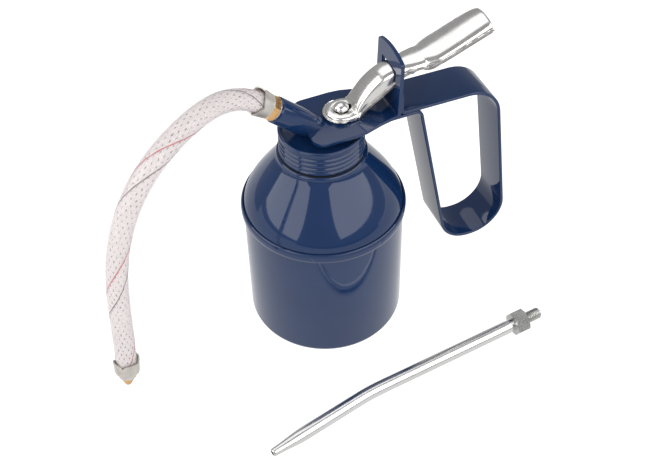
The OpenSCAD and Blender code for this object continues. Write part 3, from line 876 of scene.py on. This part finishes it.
def lever():
    """A pressed channel: a round nose, sections up to the pad's end, a wall and the nose's slot."""
    nose = half_section(7.8, 124.8, 3.0, 0.3, 0.5, dish=0.35)
    verts, faces = [], []
    m = len(nose)
    turns = 24
    for k in range(turns + 1):
        a = math.pi / 2 + math.pi * k / turns
        verts += [arr(ROD_X + r * math.cos(a), r * math.sin(a), z) for r, z in nose]
    for k in range(turns):
        for i in range(m - 1):
            a = k * m + i
            faces.append((a, a + 1, a + m + 1, a + m))
    xs = [10.0, 10.8, 11.6, 12.4, 13.2, 13.8, 14.4, 14.9, 15.4, 15.9, 16.4, 17, 17.7, 18.4, 19.2, 20,
          21, 22, 23.2, 24.5, 26, 27.5, 29, 30.5, 32, 34, 36, 38, 39.5, 41, 42.5, 44, 45.2, 46.2, 47,
          47.8, 48.4, 48.8, 49.1, 49.4, 49.8, 50.4, 51.2, 52, 53, 54, 55, 56.2, 57.5, 60, 62.5, 65,
          67.5, 70, 73, 76, 78, 79.2, 79.9]
    rows = []
    for x in xs:
        top, w, d = station(x)
        mix = step(11, 17, x)
        power = lerp(0.5, 0.72, mix)
        power = lerp(power, 0.9, step(22, 44, x))
        half = half_section(w, top, d + bump_at(x), lip_at(x) if x > 10 else 0.3, power,
                            dish=0.35 * (1 - mix))
        rows.append(both_sides(x, half))
    top, w, d = station(80.0)
    for x, cut in ((80.25, 0.10), (80.6, 0.32), (80.9, 0.75), (81.0, 1.3)):
        half = half_section(w - cut, top - cut * 0.9, d - cut * 0.9, max(0.2, 1.0 - cut), 0.9)
        rows.append(both_sides(x, half))
    base = len(verts)
    n = len(rows[0])
    v, f = rings(rows, close_u=False, close_v=False)
    verts += v
    faces += [tuple(a + base for a in q) for q in f]
    faces.append(tuple(range(base + (len(rows) - 1) * n, base + len(rows) * n)))
    mesh = bpy.data.meshes.new("lever_skin")
    mesh.from_pydata([tuple(float(c) * MM for c in p) for p in verts], [], faces)
    bm = bmesh.new()
    bm.from_mesh(mesh)
    bmesh.ops.remove_doubles(bm, verts=bm.verts, dist=2e-6)
    bmesh.ops.dissolve_degenerate(bm, edges=bm.edges, dist=1e-7)
    bmesh.ops.recalc_face_normals(bm, faces=bm.faces)
    highest = max(bm.faces, key=lambda q: q.calc_center_median().z)
    if highest.normal.z < 0:
        bmesh.ops.reverse_faces(bm, faces=bm.faces)
    bm.to_mesh(mesh)
    bm.free()
    skin = link("lever_skin", mesh)
    solid = skin.modifiers.new("wall", "SOLIDIFY")
    solid.thickness = 1.1 * MM
    solid.offset = -1
    solid.use_even_offset = False
    slot_bm = bmesh.new()
    slot_r = 2.4
    outline = []
    for centre, first_angle in ((14.9 - slot_r, -math.pi / 2), (ROD_X, math.pi / 2)):
        outline += [(centre + slot_r * math.cos(a), slot_r * math.sin(a))
                    for a in np.linspace(first_angle, first_angle + math.pi, 17)]
    low_ring = [slot_bm.verts.new((x * MM, y * MM, 0.118)) for x, y in outline]
    high_ring = [slot_bm.verts.new((x * MM, y * MM, 0.132)) for x, y in outline]
    slot_bm.faces.new(low_ring[::-1])
    slot_bm.faces.new(high_ring)
    for i in range(len(outline)):
        j = (i + 1) % len(outline)
        slot_bm.faces.new((low_ring[i], low_ring[j], high_ring[j], high_ring[i]))
    cutter_mesh = bpy.data.meshes.new("slot_cutter")
    slot_bm.to_mesh(cutter_mesh)
    slot_bm.free()
    cutter = link("slot_cutter", cutter_mesh)
    cut = skin.modifiers.new("slot", "BOOLEAN")
    cut.operation = "DIFFERENCE"
    cut.solver = "EXACT"
    cut.object = cutter
    bpy.context.view_layer.update()
    made = bpy.data.meshes.new_from_object(skin.evaluated_get(bpy.context.evaluated_depsgraph_get()))
    made.name = "lever_pressed"
    bpy.data.objects.remove(skin)
    bpy.data.objects.remove(cutter)
    made.materials.clear()
    made.materials.append(PLATE)
    made.materials.append(SHADED_ROUGH_EDGE)
    # A band along the feet and lips of the flanges is rougher than the plated faces, and darker with
    # painted shade
    for face in made.polygons:
        x, _, z = (c / MM for c in face.center)
        top, _, d = station(min(max(x, 10), 80))
        shaded_rough_top = top - d - bump_at(x) + 1.35 + 0.12 * math.sin(2.1 * x) * math.sin(0.7 * x)
        if x > 17 and z < shaded_rough_top:
            face.material_index = 1
    made.shade_smooth()
    made.set_sharp_from_angle(angle=math.radians(48))
    piece = link("lever_pressed", made)
    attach(piece, "lever")
    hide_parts("thumb_lever")


lever()

# Rod head
profile = [(0, 125.1), (3.3, 125.1), (3.5, 125.3)] + [
    (3.5 * math.sin(a), 125.45 + 2.1 * math.cos(a) ** 1.25) for a in np.linspace(math.pi / 2, 0, 14)]
v, f = lathe(profile, 64, lambda p: p + arr(ROD_X, 0, 0))
make("rod_head_domed", v, f, PLATE, "plunger", ["rod_head"], weld=1e-3)

# Return spring, squeezed between the piston and the gland
PER_TURN = 28
TURNS = 8
COIL_R = 4
WIRE_R = 0.6
coil = []
for i in range(TURNS * PER_TURN + 1):
    a = TAU * i / PER_TURN
    coil.append(arr(ROD_X + COIL_R * math.cos(a), COIL_R * math.sin(a),
                    lerp(80.65, 113.95, i / (TURNS * PER_TURN))))
v, f = capped([ring(centre, WIRE_R, 10, u, w) for centre, (_, u, w) in zip(coil, frames(coil))])
mesh = bpy.data.meshes.new("spring_coil")
mesh.from_pydata([tuple(c * MM for c in p) for p in v], [], f)
mesh.materials.append(STEEL)
mesh.shade_smooth()
spring = link("spring_coil", mesh)
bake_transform(spring)
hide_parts("return_spring")


# ---------- spare spout ----------

SPARE_AT = arr(77, -62, 5.5)
head, tilt = math.radians(185.6), math.radians(0.97)
X = arr(math.cos(tilt) * math.cos(head), math.cos(tilt) * math.sin(head), -math.sin(tilt))
Y = arr(-math.sin(head), math.cos(head), 0)
Z = np.cross(X, Y)


def on_spare(v):
    return SPARE_AT + X * v[0] + Y * v[1] + Z * v[2]


def along_spare(at):
    """Places a point drawn on +Z onto the spare spout's axis, at a distance towards the tip."""
    return lambda v: on_spare(arr(at + v[2], v[0], v[1]))


BEND_R = 110
turn_at = arr(77, BEND_R, 0)
swing = math.radians(7)
ahead = arr(math.cos(swing), math.sin(swing), 0)
path = [arr(x, 0, 0) for x in (0, 0.15, 0.5, 1.2, 2.2, 3.5, 10, 30, 50, 65)]
path += [turn_at + BEND_R * arr(math.sin(a), -math.cos(a), 0) for a in np.linspace(0, swing, 14)]
bend_end = path[-1]
path += [bend_end + ahead * d for d in (12, 24, 33, 35, 37, 40, 43, 46, 48, 49, 49.9, 50.3, 50.5)]


def spare_radius(i, p):
    if i < 6:
        return lerp(3.0, 3.4, step(0, 3.2, float(p[0])))
    d = float((p - bend_end) @ ahead)
    r = lerp(3.4, 2.1, step(31.5, 50.5, d))
    return r - 0.35 * step(49.7, 50.5, d)


SIDES = 48
outer, inner = [], []
for i, (_, u, w) in enumerate(frames(path)):
    r = spare_radius(i, path[i])
    bore = 1.15 if float((path[i] - bend_end) @ ahead) > 40 else r - 1.0
    outer.append(ring(path[i], r, SIDES, u, w))
    inner.append(ring(path[i], bore, SIDES, u, w))
v, f = rings(outer + inner[::-1])
make("spare_tube_drawn", [on_spare(p) for p in v], f, ZINC, "spare_spout",
     ["spare_spout_tube"], sharp=50)
hex_nut(11.0, 7.0, 2.62, along_spare(-7.0), "spare_nut_hex", NUT, "spare_spout",
        "spare_spout_nut", crown_at=1.02)

THREAD_PITCH = 1.0
loops = []
for k in range(SIDES):
    t = TAU * k / SIDES
    loop = []
    for z in np.linspace(0.0, 9.0, 110):
        depth = 0.42 * (0.5 - 0.5 * math.cos(TAU * z / THREAD_PITCH - t)) ** 1.2
        r = 2.95 - depth * step(8.8, 8.2, z) - 0.5 * step(0.7, 0.0, z)
        r = lerp(r, 2.4, step(8.1, 8.5, z))
        loop.append(arr(r * math.cos(t), r * math.sin(t), z))
    loop += [arr(2.6 * math.cos(t), 2.6 * math.sin(t), z) for z in (9.05, 15.9)]
    loop += [arr(1.6 * math.cos(t), 1.6 * math.sin(t), z) for z in (16.0, 0.0)]
    loops.append(loop)
v, f = rings(loops)
place = along_spare(-16.0)
make("spare_stub_threaded", [place(p) for p in v], f, NUT, "spare_spout",
     ["spare_spout_stub"], sharp=60)


# ---------- finishes of the CAD parts that stay ----------

FINISH = {
    "cap_gasket": RUBBER, "gland_packing": RUBBER, "piston_seal": RUBBER,
    "pump_barrel": ZINC, "gland_nut": DARK, "suction_tube": ZINC, "plunger_rod": STEEL,
    "foot_valve_body": BRASS, "strainer": BRASS, "piston": BRASS,
    "foot_valve_ball": STEEL, "piston_ball": STEEL, "piston_nut": STEEL, "hose_washer": STEEL,
}
for name, finish in FINISH.items():
    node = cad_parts[name]
    node.data.materials.clear()
    node.data.materials.append(finish)


# ---------- floor and light ----------

def glow(tree, strength):
    node = tree.nodes.new("ShaderNodeEmission")
    node.inputs["Color"].default_value = (1, 1, 1, 1)
    node.inputs["Strength"].default_value = strength
    return node.outputs[0]


def stage_plane():
    """A white floor just under the can. It glows, so that only soft shadows show on it."""
    mesh = bpy.data.meshes.new("floor")
    s, z = 6.0, -0.0001
    mesh.from_pydata([(-s, -s, z), (s, -s, z), (s, s, z), (-s, s, z)], [], [(0, 1, 2, 3)])
    m, tree, out = blank("floor_white")
    diffuse = tree.nodes.new("ShaderNodeBsdfDiffuse")
    diffuse.inputs["Color"].default_value = (0.35, 0.35, 0.35, 1)
    both = tree.nodes.new("ShaderNodeAddShader")
    tree.links.new(diffuse.outputs[0], both.inputs[0])
    tree.links.new(glow(tree, 0.9), both.inputs[1])
    tree.links.new(both.outputs[0], out.inputs[0])
    mesh.materials.append(m)
    link("floor", mesh)


LAMP_DISTANCE = 0.95


def softbox(name, azimuth, elevation, width, height, radiance):
    """Azimuth 0 is on the -Y side and 90 on the +X side, seen from the can."""
    a, e = math.radians(azimuth), math.radians(elevation)
    out = Vector((math.sin(a) * math.cos(e), -math.cos(a) * math.cos(e), math.sin(e)))
    light = bpy.data.lights.new(name, "AREA")
    light.shape = "RECTANGLE"
    light.size, light.size_y = width, height
    light.energy = radiance * math.pi * width * height
    lamp = link(name, light)
    lamp.location = Vector((0, 0, 0.08)) + out * LAMP_DISTANCE
    lamp.rotation_mode = "QUATERNION"
    lamp.rotation_quaternion = out.to_track_quat("Z", "Y")
    lamp.visible_camera = False


def flag(name, at, across, size, radiance, rising=(0, 0, 1)):
    """A grey studio card that shows only in reflections.

    across is the direction of its width, rising that of its height, and at the middle of its foot.
    """
    mesh = bpy.data.meshes.new(name)
    w = unit(arr(*across)) * size[0] / 2
    low, high = arr(*at) - w, arr(*at) + w
    lift = arr(*rising) * size[1]
    corners = [tuple(low), tuple(high), tuple(high + lift), tuple(low + lift)]
    mesh.from_pydata(corners, [], [(0, 1, 2, 3)])
    m, tree, out = blank(name)
    tree.links.new(glow(tree, radiance), out.inputs[0])
    mesh.materials.append(m)
    card = link(name, mesh)
    card.visible_camera = False
    card.visible_diffuse = False
    card.visible_shadow = False
    card.visible_transmission = False


stage_plane()
flag("card_back", (0.05, 0.42, 0.0), (1, 0.1, 0), (1.3, 0.20), 0.36)
flag("card_front", (-0.1, -0.85, 0.0), (1, 0, 0), (2.4, 0.075), 0.22)
flag("card_floor", (0, -1.5, 0.0002), (1, 0, 0), (3.4, 3.0), 0.85, rising=(0, 1, 0))
softbox("soft_left", -88, 32, 1.30, 1.00, 2.2)
softbox("soft_right", 36, 36, 1.55, 0.90, 2.2)
softbox("soft_back", 178, 65.3, 0.77, 0.7, 1.05)

world = bpy.data.worlds.new("studio")
bpy.context.scene.world = world
world.use_nodes = True
sky = world.node_tree
sky.nodes["Background"].inputs["Color"].default_value = (0.38, 0.38, 0.39, 1)
sky.nodes["Background"].inputs["Strength"].default_value = 1.0
bpy.context.scene.view_settings.view_transform = "Standard"
